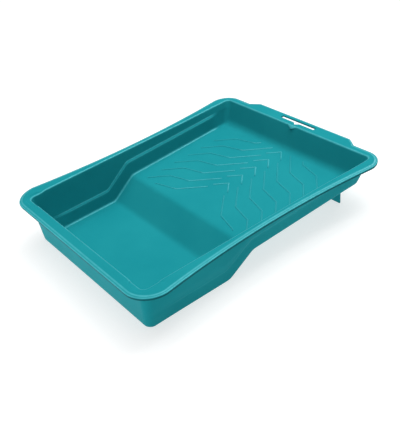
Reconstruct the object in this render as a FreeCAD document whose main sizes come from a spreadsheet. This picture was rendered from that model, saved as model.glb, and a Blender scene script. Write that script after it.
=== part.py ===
"""Paint roller tray: a one-piece polypropylene moulding, modelled as the regions it is made of.

+X runs from the paint well to the hang tab, +Y to the left side, +Z up. The origin is on the
ground under the middle of the tray. The left and right sides are mirror images.
"""
import FreeCAD, Part
import math
import os
import Sketcher

os.makedirs("parts", exist_ok=True)
doc = FreeCAD.newDocument("paint_roller_tray")

# --------------------------------------------------------------------------- driving dimensions
SIZES = [
    ("rim_length", 350.0, "front edge to far edge of the rim, without the tab"),
    ("rim_width", 298.6, "between the rim's side edges where they would meet at the corners"),
    ("waist", 14.0, "how far each side edge bows in at mid length"),
    ("front_corner", 31.0, "plan radius of the two outer corners at the well"),
    ("far_corner", 25.0, "plan radius of the two outer corners at the tab"),
    ("tray_height", 60.0, "ground to the top of the rim"),
    ("wall", 2.2, "thickness of the moulding"),
    ("skirt_drop", 4.0, "depth of the rim's turned-down edge"),
    ("front_flange", 15.5, "width of the rim at the well end"),
    ("far_flange", 11.0, "width of the rim at the ramp end"),
    ("opening_width", 252.0, "width of the opening at mid length"),
    ("side_flare", 0.75, "degrees that each side wall opens out towards the ramp end"),
    ("opening_corner", 7.0, "plan radius of the opening's corners"),
    ("front_draft", 1.2, "how far the front wall leans out from ground to rim"),
    ("side_draft", 7.0, "how far the upper side walls lean out from ground to rim"),
    ("step_width", 235.0, "width between the lower side walls at mid length, on the ground"),
    ("step_draft", 6.0, "how far the lower side walls lean out from ground to rim"),
    ("step_rise", 18.5, "height of the ledge above the floor beneath it"),
    ("well_end", 123.4, "front edge of the rim to the foot of the slope"),
    ("slope_end", 157.5, "front edge of the rim to the top of the slope"),
    ("ramp_low", 22.7, "underside of the ramp where it meets the slope"),
    ("ramp_high", 28.8, "underside of the ramp where it meets the far wall"),
    ("ramp_end", 327.0, "front edge of the rim to the ramp's far end"),
    ("spout_place", 26.0, "front edge of the rim to the middle of a spout"),
    ("spout_axis", 113.5, "centreline to the middle of a spout"),
    ("spout_radius", 17.2, "plan radius of the dish that lowers the rim at a spout"),
    ("tab_reach", 8.5, "how far the hang tab stands out from the far rim"),
    ("tab_base", 190.0, "width of the tab where it leaves the rim"),
    ("tab_edge", 163.0, "width of the tab's outer edge"),
    ("slot_length", 60.0, "length of the hanging slot"),
    ("slot_width", 5.5, "width of the hanging slot"),
    ("slot_start", 346.5, "front edge of the rim to the near side of the slot"),
    ("notch_width", 22.0, "width of the lug below the nail notch"),
    ("notch_reach", 3.8, "how far the lug stands into the tray"),
    ("notch_drop", 5.6, "depth of the lug down the far wall"),
    ("nail_width", 9.0, "width of the nail notch where it opens into the slot"),
    ("nail_depth", 4.0, "depth of the nail notch"),
    ("foot_place", 310.0, "front edge of the rim to the middle of the rear feet"),
    ("foot_outer", 108.0, "centreline to the outer side of a foot"),
    ("foot_width", 34.0, "width of a foot"),
    ("rib_pitch", 22.7, "distance between herringbone ribs along the tray"),
    ("rib_start", 220.0, "front edge of the rim to the point where the first rib's legs would meet"),
    ("rib_width", 2.0, "width of a rib"),
    ("rib_gap", 16.0, "centreline to the inner end of a rib's leg"),
    ("rib_elbow", 45.0, "centreline to the first bend of a leg"),
    ("rib_knee", 76.0, "centreline to the second bend of a leg"),
    ("rib_end", 98.0, "centreline to the outer end of a leg"),
    ("arrow_step", 5.5, "how far the small arrow between two legs is set towards the far end"),
    ("ribbed_start", 165.0, "front edge of the rim to the start of the ribbed area"),
    ("ribbed_end", 318.0, "front edge of the rim to the end of the ribbed area"),
    ("rib_height", 0.9, "height of a rib above the ramp"),
    ("floor_half", 115.5, "centreline to the seam between floor and side walls"),
    ("front_seam", 19.0, "front edge of the rim to the seam between front wall and well floor"),
    ("spout_side", 88.0, "centreline to the seam between front rim and spout"),
    ("spout_length", 60.0, "front edge of the rim to the seam between spout and side rim"),
    ("far_seam", 322.0, "front edge of the rim to the seam between side rim and far corner"),
]
sheet = doc.addObject("Spreadsheet::Sheet", "sizes")
for row, (alias, value, meaning) in enumerate(SIZES, start=1):
    sheet.set(f"A{row}", meaning)
    sheet.set(f"B{row}", str(value))
    sheet.setAlias(f"B{row}", alias)
doc.recompute()

MIDDLE = "(sizes.rim_length + sizes.tab_reach) / 2"
FLANGE_UNDER = "(sizes.tray_height - sizes.wall)"
TUB_TOP = "(sizes.tray_height + 1)"


# --------------------------------------------------------------------------------------- helpers
def along(expression):
    """Turn a distance from the rim's front edge into an X position."""
    return f"({expression}) - {MIDDLE}"


def bind(thing, **places):
    """Bind properties to expressions; a double underscore in a name stands for a dot."""
    for name, expression in places.items():
        thing.setExpression(name.replace("__", "."), str(expression))


def origin_plane(body, role):
    """One of a body's own origin planes."""
    return [plane for plane in body.Origin.OriginFeatures if plane.Role == role][0]


def fix_point(sketch, line, corner):
    """Hold the start of a sketch line at a pair of expressions."""
    start = sketch.Geometry[line].StartPoint
    for kind, value, expression in (("DistanceX", start.x, corner[0]), ("DistanceY", start.y, corner[1])):
        index = sketch.addConstraint(Sketcher.Constraint(kind, -1, 1, line, 1, value))
        sketch.setExpression(f"Constraints[{index}]", expression)


def polygon(body, name, role, corners, lift="0"):
    """A closed sketch on an origin plane, each corner held at its own pair of expressions."""
    sketch = body.newObject("Sketcher::SketchObject", name)
    sketch.AttachmentSupport = [(origin_plane(body, role), "")]
    sketch.MapMode = "FlatFace"
    bind(sketch, AttachmentOffset__Base__z=lift)
    count = len(corners)
    turns = [2 * math.pi * step / count for step in range(count)]
    radius = sheet.rim_width / 2
    ring = [FreeCAD.Vector(radius * math.cos(turn), radius * math.sin(turn), 0) for turn in turns]
    for step in range(count):
        sketch.addGeometry(Part.LineSegment(ring[step], ring[(step + 1) % count]), False)
    for step in range(count):
        sketch.addConstraint(Sketcher.Constraint("Coincident", step, 2, (step + 1) % count, 1))
    for step, corner in enumerate(corners):
        fix_point(sketch, step, corner)
    return sketch


def pad(body, sketch, name, length, both_ways=False):
    """Push a sketch out of its plane."""
    feature = body.newObject("PartDesign::Pad", name)
    feature.Profile = sketch
    feature.Midplane = both_ways
    bind(feature, Length=length)
    body.Tip = feature
    return feature


def upright_edges(shape, test):
    """Names of the edges that run from bottom to top and pass a test on their middle point."""
    names = []
    nearly_full = 0.9 * shape.BoundBox.ZLength
    for index, edge in enumerate(shape.Edges, start=1):
        box = edge.BoundBox
        if box.ZLength > nearly_full and test(box.Center):
            names.append(f"Edge{index}")
    return names


def round_edges(body, base, name, radius, test=lambda middle: True):
    """Round a solid's upright edges."""
    doc.recompute()
    feature = body.newObject("PartDesign::Fillet", name)
    feature.Base = (base, upright_edges(base.Shape, test))
    bind(feature, Radius=radius)
    body.Tip = feature
    return feature


def block(name, x_from, x_to, y_from, y_to, z_from="-1", z_to="sizes.tray_height + 1"):
    """A box between three pairs of expressions, X being measured from the rim's front edge."""
    box = doc.addObject("Part::Box", name)
    bind(box, Length=f"({x_to}) - ({x_from})", Width=f"({y_to}) - ({y_from})")
    bind(box, Height=f"({z_to}) - ({z_from})")
    bind(box, Placement__Base__x=along(x_from), Placement__Base__y=y_from, Placement__Base__z=z_from)
    return box


def boolean(kind, name, *shapes):
    """A Part boolean of two shapes, or a fusion of several."""
    result = doc.addObject(kind, name)
    if kind == "Part::MultiFuse":
        result.Shapes = list(shapes)
    else:
        result.Base, result.Tool = shapes
    return result


# ------------------------------------------------------------------- the cavity and its outside
def cut_side(body, name, side, inset, half_width, draft):
    """Cut a trough down to one flared, drafted side wall."""
    foot = f"({half_width} + {inset})"
    top = f"({foot} + {draft})"
    far_out = "sizes.rim_width"
    corners = [
        (f"{side} * {foot}", "0"),
        (f"{side} * {far_out}", "0"),
        (f"{side} * {far_out}", TUB_TOP),
        (f"{side} * {top}", TUB_TOP),
    ]
    sketch = polygon(body, f"{name}_line", "YZ_Plane", corners)
    upright = FreeCAD.Vector(0, 1, 0)
    sketch.AttachmentOffset = FreeCAD.Placement(FreeCAD.Vector(), FreeCAD.Rotation(upright, 1.0))
    bind(sketch, AttachmentOffset__Rotation__Angle=f"-{side} * sizes.side_flare")
    doc.recompute()
    whole = body.Tip.Shape.Volume
    pocket = body.newObject("PartDesign::Pocket", f"{name}_cut")
    pocket.Profile = sketch
    pocket.Midplane = True
    bind(pocket, Length="sizes.rim_length * 2")
    body.Tip = pocket
    doc.recompute()
    if pocket.Shape.Volume > whole - 1:
        raise RuntimeError(f"{name} removed nothing")


SLOPE_ANGLE = "atan(sizes.ramp_low / (sizes.slope_end - sizes.well_end))"


def trough(name, inset, lift, half_width, draft):
    """A solid shaped like the tray's inside, its floor raised by lift and its walls moved out by inset.

    The two bends of the slope move along by the same share that keeps its thickness even.
    """
    body = doc.addObject("PartDesign::Body", name)
    bend_shift = f"{inset} * tan({SLOPE_ANGLE} / 2)"
    front_low = f"sizes.front_flange + sizes.front_draft - {inset}"
    front_high = f"sizes.front_flange - {inset}"
    far_low = f"sizes.ramp_end - sizes.wall + {inset}"
    far_high = f"sizes.rim_length - sizes.far_flange + {inset}"
    corners = [
        (along(front_low), lift),
        (along(f"sizes.well_end + {bend_shift}"), lift),
        (along(f"sizes.slope_end + {bend_shift}"), f"sizes.ramp_low + {lift}"),
        (along(far_low), f"sizes.ramp_high + {lift}"),
        (along(far_high), TUB_TOP),
        (along(front_high), TUB_TOP),
    ]
    sketch = polygon(body, f"{name}_line", "XZ_Plane", corners)
    pad(body, sketch, f"{name}_pad", "sizes.rim_width", both_ways=True)
    for word, side in (("left", 1), ("right", -1)):
        cut_side(body, f"{name}_{word}", side, inset, half_width, draft)
    ends = body.Tip.Shape.BoundBox
    reach = sheet.slope_end - sheet.well_end
    near_end = lambda middle: middle.x < ends.XMin + reach or middle.x > ends.XMax - reach
    round_edges(body, body.Tip, f"{name}_corners", f"sizes.opening_corner + {inset}", near_end)
    return body


def hollow_shape(name, inset, lift):
    """The tray's hollow with its side ledges; moved out by a wall's thickness it is the outside."""
    lower = trough(f"{name}_lower", inset, lift, "sizes.step_width / 2", "sizes.step_draft")
    foot = "(sizes.opening_width / 2 - sizes.side_draft)"
    upper = trough(f"{name}_upper", inset, f"({lift} + sizes.step_rise)", foot, "sizes.side_draft")
    return boolean("Part::MultiFuse", name, lower, upper)


hollow = hollow_shape("hollow", "0", "sizes.wall")
outside = hollow_shape("outside", "sizes.wall", "0")

# ------------------------------------------------------------------------------------------- rim
def waisted_plate(name, inset, low, high):
    """The rim's outline between two levels: straight ends, sides that bow in, rounded corners."""
    body = doc.addObject("PartDesign::Body", name)
    sketch = body.newObject("Sketcher::SketchObject", f"{name}_outline")
    sketch.AttachmentSupport = [(origin_plane(body, "XY_Plane"), "")]
    sketch.MapMode = "FlatFace"
    bind(sketch, AttachmentOffset__Base__z=low)
    half_length = sheet.rim_length / 2
    bow_radius = (half_length**2 + sheet.waist**2) / (2 * sheet.waist)
    bow_centre = sheet.rim_width / 2 - sheet.waist + bow_radius
    swing = math.asin(half_length / bow_radius)
    quarter = math.pi / 2
    upward = FreeCAD.Vector(0, 0, 1)
    for side, start in ((1, -quarter - swing), (-1, quarter - swing)):
        circle = Part.Circle(FreeCAD.Vector(0, side * bow_centre, 0), upward, bow_radius)
        sketch.addGeometry(Part.ArcOfCircle(circle, start, start + 2 * swing), False)
    left, right = sketch.Geometry
    sketch.addGeometry(Part.LineSegment(left.EndPoint, right.StartPoint), False)
    sketch.addGeometry(Part.LineSegment(right.EndPoint, left.StartPoint), False)
    for first, first_end, second, second_end in ((0, 2, 2, 1), (2, 2, 1, 1), (1, 2, 3, 1), (3, 2, 0, 1)):
        sketch.addConstraint(Sketcher.Constraint("Coincident", first, first_end, second, second_end))
    sketch.addConstraint(Sketcher.Constraint("Vertical", 2))
    sketch.addConstraint(Sketcher.Constraint("Vertical", 3))
    bow = "((sizes.rim_length / 2)^2 + sizes.waist^2) / (2 * sizes.waist)"
    centre = f"sizes.rim_width / 2 - sizes.waist + {bow}"
    held = [
        (("DistanceX", -1, 1, 0, 3, 0.0), along("sizes.rim_length / 2")),
        (("DistanceY", -1, 1, 0, 3, bow_centre), centre),
        (("DistanceX", -1, 1, 1, 3, 0.0), along("sizes.rim_length / 2")),
        (("DistanceY", -1, 1, 1, 3, -bow_centre), f"-({centre})"),
        (("Radius", 0, bow_radius), f"{bow} + {inset}"),
        (("Radius", 1, bow_radius), f"{bow} + {inset}"),
        (("DistanceX", -1, 1, 2, 1, half_length), along(f"sizes.rim_length - {inset}")),
        (("DistanceX", -1, 1, 3, 1, -half_length), along(inset)),
    ]
    for constraint, expression in held:
        index = sketch.addConstraint(Sketcher.Constraint(*constraint))
        sketch.setExpression(f"Constraints[{index}]", expression)
    plate = pad(body, sketch, f"{name}_plate", f"{high} - {low}")
    at_front = lambda middle: middle.x < 0
    at_far = lambda middle: middle.x > 0
    front = round_edges(body, plate, f"{name}_front_corners", f"sizes.front_corner - {inset}", at_front)
    round_edges(body, front, f"{name}_far_corners", f"sizes.far_corner - {inset}", at_far)
    return body


def tab_plate(name, inset, low, high):
    """The hang tab's outline between two levels, running back into the rim."""
    body = doc.addObject("PartDesign::Body", name)
    root = along("sizes.rim_length - sizes.wall * 2")
    edge = along(f"sizes.rim_length + sizes.tab_reach - {inset}")
    base = f"(sizes.tab_base / 2 - {inset})"
    tip = f"(sizes.tab_edge / 2 - {inset})"
    shoulder = along(f"sizes.rim_length - {inset}")
    corners = [
        (root, f"-{base}"),
        (shoulder, f"-{base}"),
        (edge, f"-{tip}"),
        (edge, tip),
        (shoulder, base),
        (root, base),
    ]
    pad(body, polygon(body, f"{name}_outline", "XY_Plane", corners, low), f"{name}_plate", f"{high} - {low}")
    return body


def spout_disc(name, side, grown, low, high):
    """A round block in line with one pouring spout, between two levels."""
    disc = doc.addObject("Part::Cylinder", name)
    bind(disc, Radius=f"sizes.spout_radius + {grown}", Height=f"({high}) - ({low})")
    bind(disc, Placement__Base__x=along("sizes.spout_place"))
    bind(disc, Placement__Base__y=f"{side} * sizes.spout_axis")
    bind(disc, Placement__Base__z=low)
    return disc


SKIRT_FOOT = "(sizes.tray_height - sizes.skirt_drop)"
rim_block = boolean(
    "Part::MultiFuse",
    "rim_block",
    waisted_plate("rim_outline", "0", SKIRT_FOOT, "sizes.tray_height"),
    tab_plate("tab_outline", "0", SKIRT_FOOT, "sizes.tray_height"),
)
channel = boolean(
    "Part::MultiFuse",
    "channel",
    waisted_plate("channel_outline", "sizes.wall", f"({SKIRT_FOOT} - 1)", FLANGE_UNDER),
    tab_plate("tab_channel", "sizes.wall", f"({SKIRT_FOOT} - 1)", FLANGE_UNDER),
)
SLOT_END = "sizes.slot_start + sizes.slot_width"
slot = block("slot", "sizes.slot_start", SLOT_END, "-sizes.slot_length / 2", "sizes.slot_length / 2")
nail = doc.addObject("PartDesign::Body", "nail")
nail_corners = [
    (along("sizes.slot_start + 1"), "-sizes.nail_width / 2"),
    (along("sizes.slot_start + 1"), "sizes.nail_width / 2"),
    (along("sizes.slot_start - sizes.nail_depth"), "0"),
]
pad(nail, polygon(nail, "nail_outline", "XY_Plane", nail_corners), "nail_pad", TUB_TOP)
dish_left = spout_disc("dish_left", 1, "0", FLANGE_UNDER, TUB_TOP)
dish_right = spout_disc("dish_right", -1, "0", FLANGE_UNDER, TUB_TOP)
openings = boolean("Part::MultiFuse", "openings", hollow, slot, nail, dish_left, dish_right)
under_rim = boolean("Part::Cut", "under_rim", rim_block, channel)
rim = boolean("Part::Cut", "rim", under_rim, openings)

# --------------------------------------------------------------------- walls, floor and the lug
bare_shell = boolean("Part::Cut", "bare_shell", outside, openings)
everywhere = ("-sizes.rim_length", "sizes.rim_length * 2", "-sizes.rim_width", "sizes.rim_width")
below_rim = block("below_rim", *everywhere, "-1", FLANGE_UNDER)
shell = boolean("Part::Common", "shell", bare_shell, below_rim)

# ------------------------------------------------------------- the moulding, region by region
PARTS = []


def keep(thing, label):
    """Register a finished sub-part under its node name."""
    thing.Label = label
    PARTS.append(thing)
    return thing


def region(label, whole, x_from, x_to, y_from, y_to):
    """The part of a larger shape that lies between four upright seams."""
    frame = block(f"{label}_region", x_from, x_to, y_from, y_to)
    return boolean("Part::Common", f"{label}_shape", whole, frame)


BEFORE = "-sizes.wall"
BEYOND = "sizes.rim_length + sizes.tab_reach + sizes.wall"
FAR_WALL_FOOT = "sizes.ramp_end - sizes.wall"
HALF = "sizes.floor_half"
OUTER = "sizes.rim_width / 2 + sizes.wall"


def both_sides(inner, outer):
    """The Y limits of a left-hand region and of its right-hand mirror image."""
    return (("left", inner, outer), ("right", f"-({outer})", f"-({inner})"))


floors = (
    ("front_wall", BEFORE, "sizes.front_seam"),
    ("well_floor", "sizes.front_seam", "sizes.well_end"),
    ("steep_slope", "sizes.well_end", "sizes.slope_end"),
    ("ramp_floor", "sizes.slope_end", FAR_WALL_FOOT),
    ("far_wall", FAR_WALL_FOOT, BEYOND),
)
for label, start, end in floors:
    keep(region(label, shell, start, end, f"-{HALF}", HALF), label)

side_walls = (
    ("well_side", BEFORE, "sizes.well_end"),
    ("slope_side", "sizes.well_end", "sizes.slope_end"),
    ("ramp_side", "sizes.slope_end", BEYOND),
)
for stem, start, end in side_walls:
    for word, y_from, y_to in both_sides(HALF, OUTER):
        label = f"{stem}_{word}"
        keep(region(label, shell, start, end, y_from, y_to), label)

SPOUT_END = "sizes.spout_length"
keep(region("front_rim", rim, BEFORE, SPOUT_END, "-sizes.spout_side", "sizes.spout_side"), "front_rim")
for word, y_from, y_to in both_sides("sizes.spout_side", OUTER):
    label = f"side_rim_{word}"
    keep(region(label, rim, SPOUT_END, "sizes.far_seam", y_from, y_to), label)
tab_half = "sizes.tab_base / 2 + sizes.wall"
for word, y_from, y_to in both_sides(tab_half, OUTER):
    label = f"far_rim_corner_{word}"
    keep(region(label, rim, "sizes.far_seam", BEYOND, y_from, y_to), label)
keep(region("hang_tab", rim, "sizes.far_seam", BEYOND, f"-({tab_half})", tab_half), "hang_tab")

# At both outer corners of the well the rim has a round cut-out. A curved plate one wall's
# thickness lower closes it, flush with the top of the walls, and makes the pouring spout.
PLATE_UNDER = f"({FLANGE_UNDER} - sizes.wall)"
for word, y_from, y_to in both_sides("sizes.spout_side", OUTER):
    label = f"front_corner_rim_{word}"
    keep(region(label, rim, BEFORE, SPOUT_END, y_from, y_to), label)
    side = 1 if word == "left" else -1
    plate = spout_disc(f"spout_plate_{word}", side, "sizes.wall", PLATE_UNDER, FLANGE_UNDER)
    keep(boolean("Part::Cut", f"spout_shape_{word}", plate, outside), f"pour_spout_{word}")

# The lug is a small prow on the far wall, level with the rim, that guides a nail into its notch.
lug_body = doc.addObject("PartDesign::Body", "lug_body")
lug_root = along("sizes.rim_length - sizes.far_flange + sizes.wall")
lug_corners = [
    (lug_root, "-sizes.notch_width / 2"),
    (lug_root, "sizes.notch_width / 2"),
    (along("sizes.rim_length - sizes.far_flange - sizes.notch_reach"), "0"),
]
lug_foot = "sizes.tray_height - sizes.notch_drop"
lug_outline = polygon(lug_body, "lug_outline", "XY_Plane", lug_corners, lug_foot)
pad(lug_body, lug_outline, "lug_pad", "sizes.notch_drop")
keep(boolean("Part::Common", "lug_shape", lug_body, hollow), "notch_lug")

# Two feet stand across the tray under the far end of the ramp.
for word, y_from, y_to in both_sides("sizes.foot_outer - sizes.foot_width", "sizes.foot_outer"):
    near = "sizes.foot_place - sizes.wall / 2"
    far = "sizes.foot_place + sizes.wall / 2"
    post = block(f"foot_post_{word}", near, far, y_from, y_to, "0", "sizes.ramp_high + sizes.wall")
    keep(boolean("Part::Cut", f"foot_shape_{word}", post, outside), f"rear_foot_{word}")

# -------------------------------------------------------------------------- herringbone ribs
RIB_COUNT = 7
rib_body = doc.addObject("PartDesign::Body", "rib_body")
SIDEWAYS = "sizes.rib_width / sqrt(2)"


def leg_line(reach):
    """How far back from its point a rib's leg has run, at a distance from the centreline."""
    return f"(sizes.rib_start - sizes.slope_end - ({reach}))"


def rib_strip(name, spine):
    """A narrow strip along the ramp that follows a spine of (distance along, distance across)."""
    ahead = [(f"{x} + {SIDEWAYS}", y) for x, y in spine]
    behind = [(f"{x} - {SIDEWAYS}", y) for x, y in reversed(spine)]
    outline = polygon(rib_body, f"{name}_outline", "XY_Plane", ahead + behind)
    return pad(rib_body, outline, f"{name}_pad", "sizes.rib_height")


MIDDLE_LEAN = "tan(15)"
first_bend = "sizes.rib_elbow"
knee_back = f"({first_bend} + (sizes.rib_knee - sizes.rib_elbow) * {MIDDLE_LEAN})"
end_back = f"({knee_back} + sizes.rib_end - sizes.rib_knee)"
strips = []
for word, side in (("left", ""), ("right", "-")):
    spine = [
        (leg_line("sizes.rib_gap"), f"{side}sizes.rib_gap"),
        (leg_line(first_bend), f"{side}sizes.rib_elbow"),
        (leg_line(knee_back), f"{side}sizes.rib_knee"),
        (leg_line(end_back), f"{side}sizes.rib_end"),
    ]
    strips.append(rib_strip(f"leg_{word}", spine))
arrow_half = "(sizes.rib_gap - sizes.rib_width)"
arrow_point = f"({leg_line('0')} + sizes.arrow_step)"
arrow = [
    (f"({arrow_point} - {arrow_half})", f"-{arrow_half}"),
    (arrow_point, "0"),
    (f"({arrow_point} - {arrow_half})", arrow_half),
]
strips.append(rib_strip("arrow", arrow))
pattern = rib_body.newObject("PartDesign::LinearPattern", "rib_pattern")
pattern.Originals = strips
x_axis = [axis for axis in rib_body.Origin.OriginFeatures if axis.Role == "X_Axis"][0]
pattern.Direction = (x_axis, [""])
pattern.Occurrences = RIB_COUNT
bind(pattern, Length=f"sizes.rib_pitch * {RIB_COUNT - 1}")
rib_body.Tip = pattern
ramp_run = "(sizes.ramp_end - sizes.wall - sizes.slope_end)"
rib_body.Placement = FreeCAD.Placement(FreeCAD.Vector(), FreeCAD.Rotation(FreeCAD.Vector(0, -1, 0), 1.0))
bind(rib_body, Placement__Base__x=along("sizes.slope_end"))
bind(rib_body, Placement__Base__z="sizes.ramp_low + sizes.wall")
bind(rib_body, Placement__Rotation__Angle=f"atan((sizes.ramp_high - sizes.ramp_low) / {ramp_run})")
ribs = region("ramp_ribs", rib_body, "sizes.ribbed_start", "sizes.ribbed_end", f"-{HALF}", HALF)
keep(ribs, "ramp_ribs")

# ------------------------------------------------------------------------------ checks and files
doc.recompute()
for thing in doc.Objects:
    if "Invalid" in thing.State or "Error" in thing.State:
        raise RuntimeError(f"{thing.Name} did not recompute: {thing.State}")
total = 0.0
for thing in PARTS:
    shape = thing.Shape
    if shape.isNull() or not shape.isValid() or not shape.Solids:
        raise RuntimeError(f"{thing.Label} has no valid solid")
    total += shape.Volume
    shape.exportStep(f"parts/{thing.Label}.step")
    print(f"{thing.Label}: {len(shape.Solids)} solid(s), {shape.Volume / 1000:.2f} cm3")
print(f"{len(PARTS)} nodes, {total / 1000:.1f} cm3 of plastic")
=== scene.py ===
import math

import bmesh
import bpy
import numpy as np
from mathutils import Matrix, Vector


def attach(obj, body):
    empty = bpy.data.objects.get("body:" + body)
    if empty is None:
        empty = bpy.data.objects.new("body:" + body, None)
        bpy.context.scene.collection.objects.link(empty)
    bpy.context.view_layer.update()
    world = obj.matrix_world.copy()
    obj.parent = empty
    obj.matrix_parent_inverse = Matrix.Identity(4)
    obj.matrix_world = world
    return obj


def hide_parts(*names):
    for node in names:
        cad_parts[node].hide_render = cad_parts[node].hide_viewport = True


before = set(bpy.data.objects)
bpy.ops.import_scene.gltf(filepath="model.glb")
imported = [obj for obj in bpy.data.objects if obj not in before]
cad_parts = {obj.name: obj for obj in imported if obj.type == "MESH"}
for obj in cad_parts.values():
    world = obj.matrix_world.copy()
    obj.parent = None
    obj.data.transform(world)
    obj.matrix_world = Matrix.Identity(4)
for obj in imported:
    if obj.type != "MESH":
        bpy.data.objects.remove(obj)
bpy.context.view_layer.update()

# ---------------------------------------------------------------- the plastic
# The whole tray is one shot of turquoise polypropylene with moulded-in colour. It is satin, with
# a fine grain and slight flow clouds. Edges and bends are painted paler and glossier, part wear
# and part painted highlight, and the turned-down edge is painted darker as painted shade.

DEEP_TURQUOISE = (0.010, 0.260, 0.298, 1)
BRIGHT_TURQUOISE = (0.014, 0.288, 0.324, 1)
# Paler colour for worn edges and for painted highlights along the bends, ribs and lug.
WORN_AND_HIGHLIGHT_TURQUOISE = (0.085, 0.520, 0.575, 1)
# Darker colour painted on the turned-down edge as painted shade.
PAINTED_SHADE_TURQUOISE = (0.004, 0.085, 0.100, 1)
SHEEN_TINT = (0.25, 0.92, 1.0, 1)
REFRACTION = 1.42
BODY_SHEEN, WORN_AND_HIGHLIGHT_SHEEN = 0.02, 1.0
SMOOTHEST, ROUGHEST, BURNISH = 0.34, 0.44, 0.12
GRAIN_STRENGTH, GRAIN_DEPTH = 0.10, 0.0003
FLOW_SCALE, SATIN_SCALE, SCUFF_SCALE, GRAIN_SCALE = 14.0, 55.0, 160.0, 1500.0


def tray_plastic():
    """The turquoise polypropylene, from positions on the tray and its layer of wear and painted light."""
    finish = bpy.data.materials.new("turquoise_polypropylene")
    finish.use_nodes = True
    tree = finish.node_tree
    shader = tree.nodes["Principled BSDF"]
    shader.inputs["IOR"].default_value = REFRACTION
    shader.inputs["Specular Tint"].default_value = SHEEN_TINT
    place = tree.nodes.new("ShaderNodeTexCoord")

    def clouds(scale, detail, roughness):
        """Noise over the tray's own positions."""
        noise = tree.nodes.new("ShaderNodeTexNoise")
        noise.inputs["Scale"].default_value = scale
        noise.inputs["Detail"].default_value = detail
        noise.inputs["Roughness"].default_value = roughness
        tree.links.new(place.outputs["Object"], noise.inputs["Vector"])
        return noise.outputs["Fac"]

    def spread(value, low, high, from_low=0.3, from_high=0.7):
        """A value laid over a new range. Noise mostly lies between 0.3 and 0.7."""
        remap = tree.nodes.new("ShaderNodeMapRange")
        remap.inputs["From Min"].default_value = from_low
        remap.inputs["From Max"].default_value = from_high
        remap.inputs["To Min"].default_value = low
        remap.inputs["To Max"].default_value = high
        tree.links.new(value, remap.inputs["Value"])
        return remap.outputs["Result"]

    def tint(factor, first, second):
        """A mix of two colours, each given outright or by another node."""
        mix = tree.nodes.new("ShaderNodeMix")
        mix.data_type = "RGBA"
        tree.links.new(factor, mix.inputs["Factor"])
        for socket, colour in ((mix.inputs["A"], first), (mix.inputs["B"], second)):
            if isinstance(colour, tuple):
                socket.default_value = colour
            else:
                tree.links.new(colour, socket)
        return mix.outputs["Result"]

    flow = spread(clouds(FLOW_SCALE, 3.0, 0.55), 0.0, 1.0)
    body_colour = tint(flow, DEEP_TURQUOISE, BRIGHT_TURQUOISE)
    # The layer paints paler above 0 (wear and painted highlight) and darker below 0 (painted shade).
    wear_and_painted_light = tree.nodes.new("ShaderNodeAttribute")
    wear_and_painted_light.attribute_name = "wear_and_painted_light"
    patchy = tree.nodes.new("ShaderNodeMath")
    patchy.operation = "MULTIPLY"
    tree.links.new(wear_and_painted_light.outputs["Fac"], patchy.inputs[0])
    tree.links.new(spread(clouds(SCUFF_SCALE, 4.0, 0.6), 0.5, 0.85), patchy.inputs[1])
    colour = tint(patchy.outputs[0], body_colour, WORN_AND_HIGHLIGHT_TURQUOISE)
    # Painted shade: below 0 the layer darkens the colour towards the shade colour.
    painted_shade = spread(wear_and_painted_light.outputs["Fac"], 1.0, 0.0, -1.0, 0.0)
    tree.links.new(tint(painted_shade, colour, PAINTED_SHADE_TURQUOISE), shader.inputs["Base Color"])
    sheen = spread(wear_and_painted_light.outputs["Fac"], BODY_SHEEN, WORN_AND_HIGHLIGHT_SHEEN, 0.0, 1.0)
    tree.links.new(sheen, shader.inputs["Specular IOR Level"])
    burnished = tree.nodes.new("ShaderNodeMath")
    burnished.operation = "SUBTRACT"
    tree.links.new(spread(clouds(SATIN_SCALE, 4.0, 0.6), SMOOTHEST, ROUGHEST), burnished.inputs[0])
    tree.links.new(spread(wear_and_painted_light.outputs["Fac"], 0.0, BURNISH, 0.0, 1.0), burnished.inputs[1])
    tree.links.new(burnished.outputs[0], shader.inputs["Roughness"])
    grain = tree.nodes.new("ShaderNodeBump")
    grain.inputs["Strength"].default_value = GRAIN_STRENGTH
    grain.inputs["Distance"].default_value = GRAIN_DEPTH
    tree.links.new(clouds(GRAIN_SCALE, 2.0, 0.5), grain.inputs["Height"])
    tree.links.new(grain.outputs["Normal"], shader.inputs["Normal"])
    return finish


plastic = tray_plastic()

# ------------------------------------------------------------ the tray's lines in plan
# A moulding like this is set out as rings: the outer edge, the lip, the edge of the opening, the
# ledge and the foot of the walls. Distances are in millimetres, x from the front edge of the rim.

FRONT_TO_ORIGIN = 179.25
MM = 0.001
SOFT_SAMPLES = 17


def eased(value):
    """0 below 0, 1 above 1, and a smooth rise between."""
    value = np.clip(value, 0.0, 1.0)
    return value * value * (3 - 2 * value)


def bent_line(at, corners, soften):
    """Height of a line of straight runs, its bends softened over a distance each way."""
    xs, zs = np.array(corners, float).T
    steps = np.linspace(-soften, soften, SOFT_SAMPLES)
    return np.mean([np.interp(at + step, xs, zs) for step in steps], axis=0)


RIM_TOP = 60.0
SKIN = 2.0
WELL_END, SLOPE_END, RAMP_END = 123.4, 157.5, 324.8
RAMP_LOW, RAMP_HIGH = 24.7, 30.8
FLOOR_LINE = [
    (-90, SKIN),
    (WELL_END, SKIN),
    (SLOPE_END, RAMP_LOW),
    (RAMP_END, RAMP_HIGH),
    (390, 33.2),
]
LEDGE_LINE = [(-90, 20.0), (118.0, 20.0), (155.0, 44.3), (325.0, 50.0), (390, 52.0)]
FLOOR_SOFTEN, LEDGE_SOFTEN = 3.5, 3.0

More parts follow.
